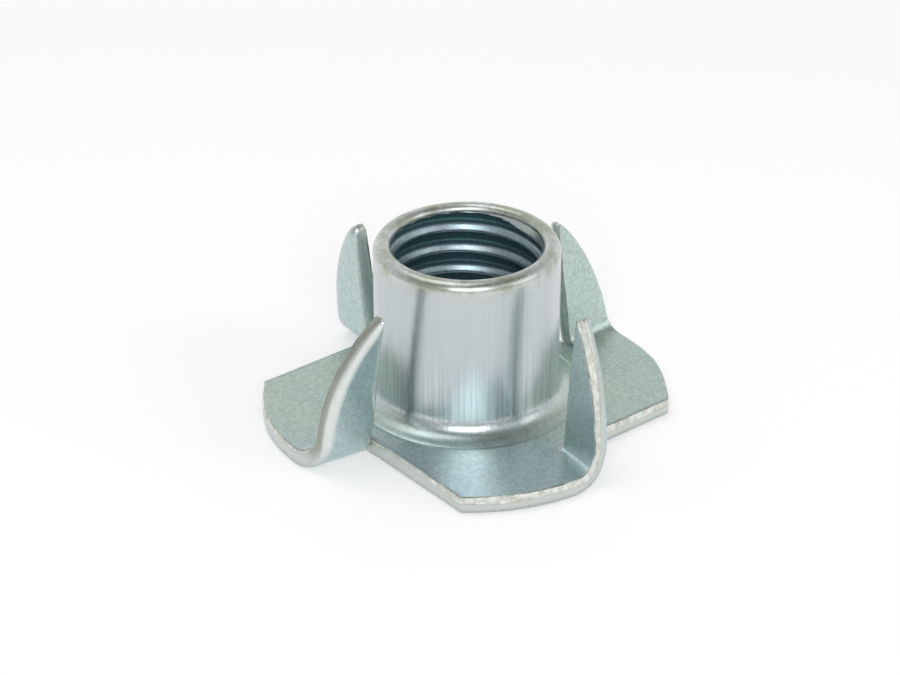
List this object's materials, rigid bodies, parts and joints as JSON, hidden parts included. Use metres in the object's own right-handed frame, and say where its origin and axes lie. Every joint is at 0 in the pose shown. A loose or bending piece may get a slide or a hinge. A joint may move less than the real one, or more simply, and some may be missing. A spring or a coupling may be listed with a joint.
{
  "type": "tee nut",
  "caption": "Pressed steel tee nut for wood: a threaded barrel on a slotted round flange, with upright curved prongs folded from the flange.",
  "frame": {"origin": "centre of the thread, on the flange's underside", "axes": "+Z along the thread axis, from the flange towards the barrel's rim and the prong tips; the picture was taken from -Y"},
  "size_m": [0.03, 0.03, 0.014],
  "materials": {
    "zinc_plated_steel": "bright blue zinc plating, with rough sheared edges"
  },
  "bodies": {
    "root": {"tee_nut": "zinc_plated_steel"}
  },
  "joints": []
}
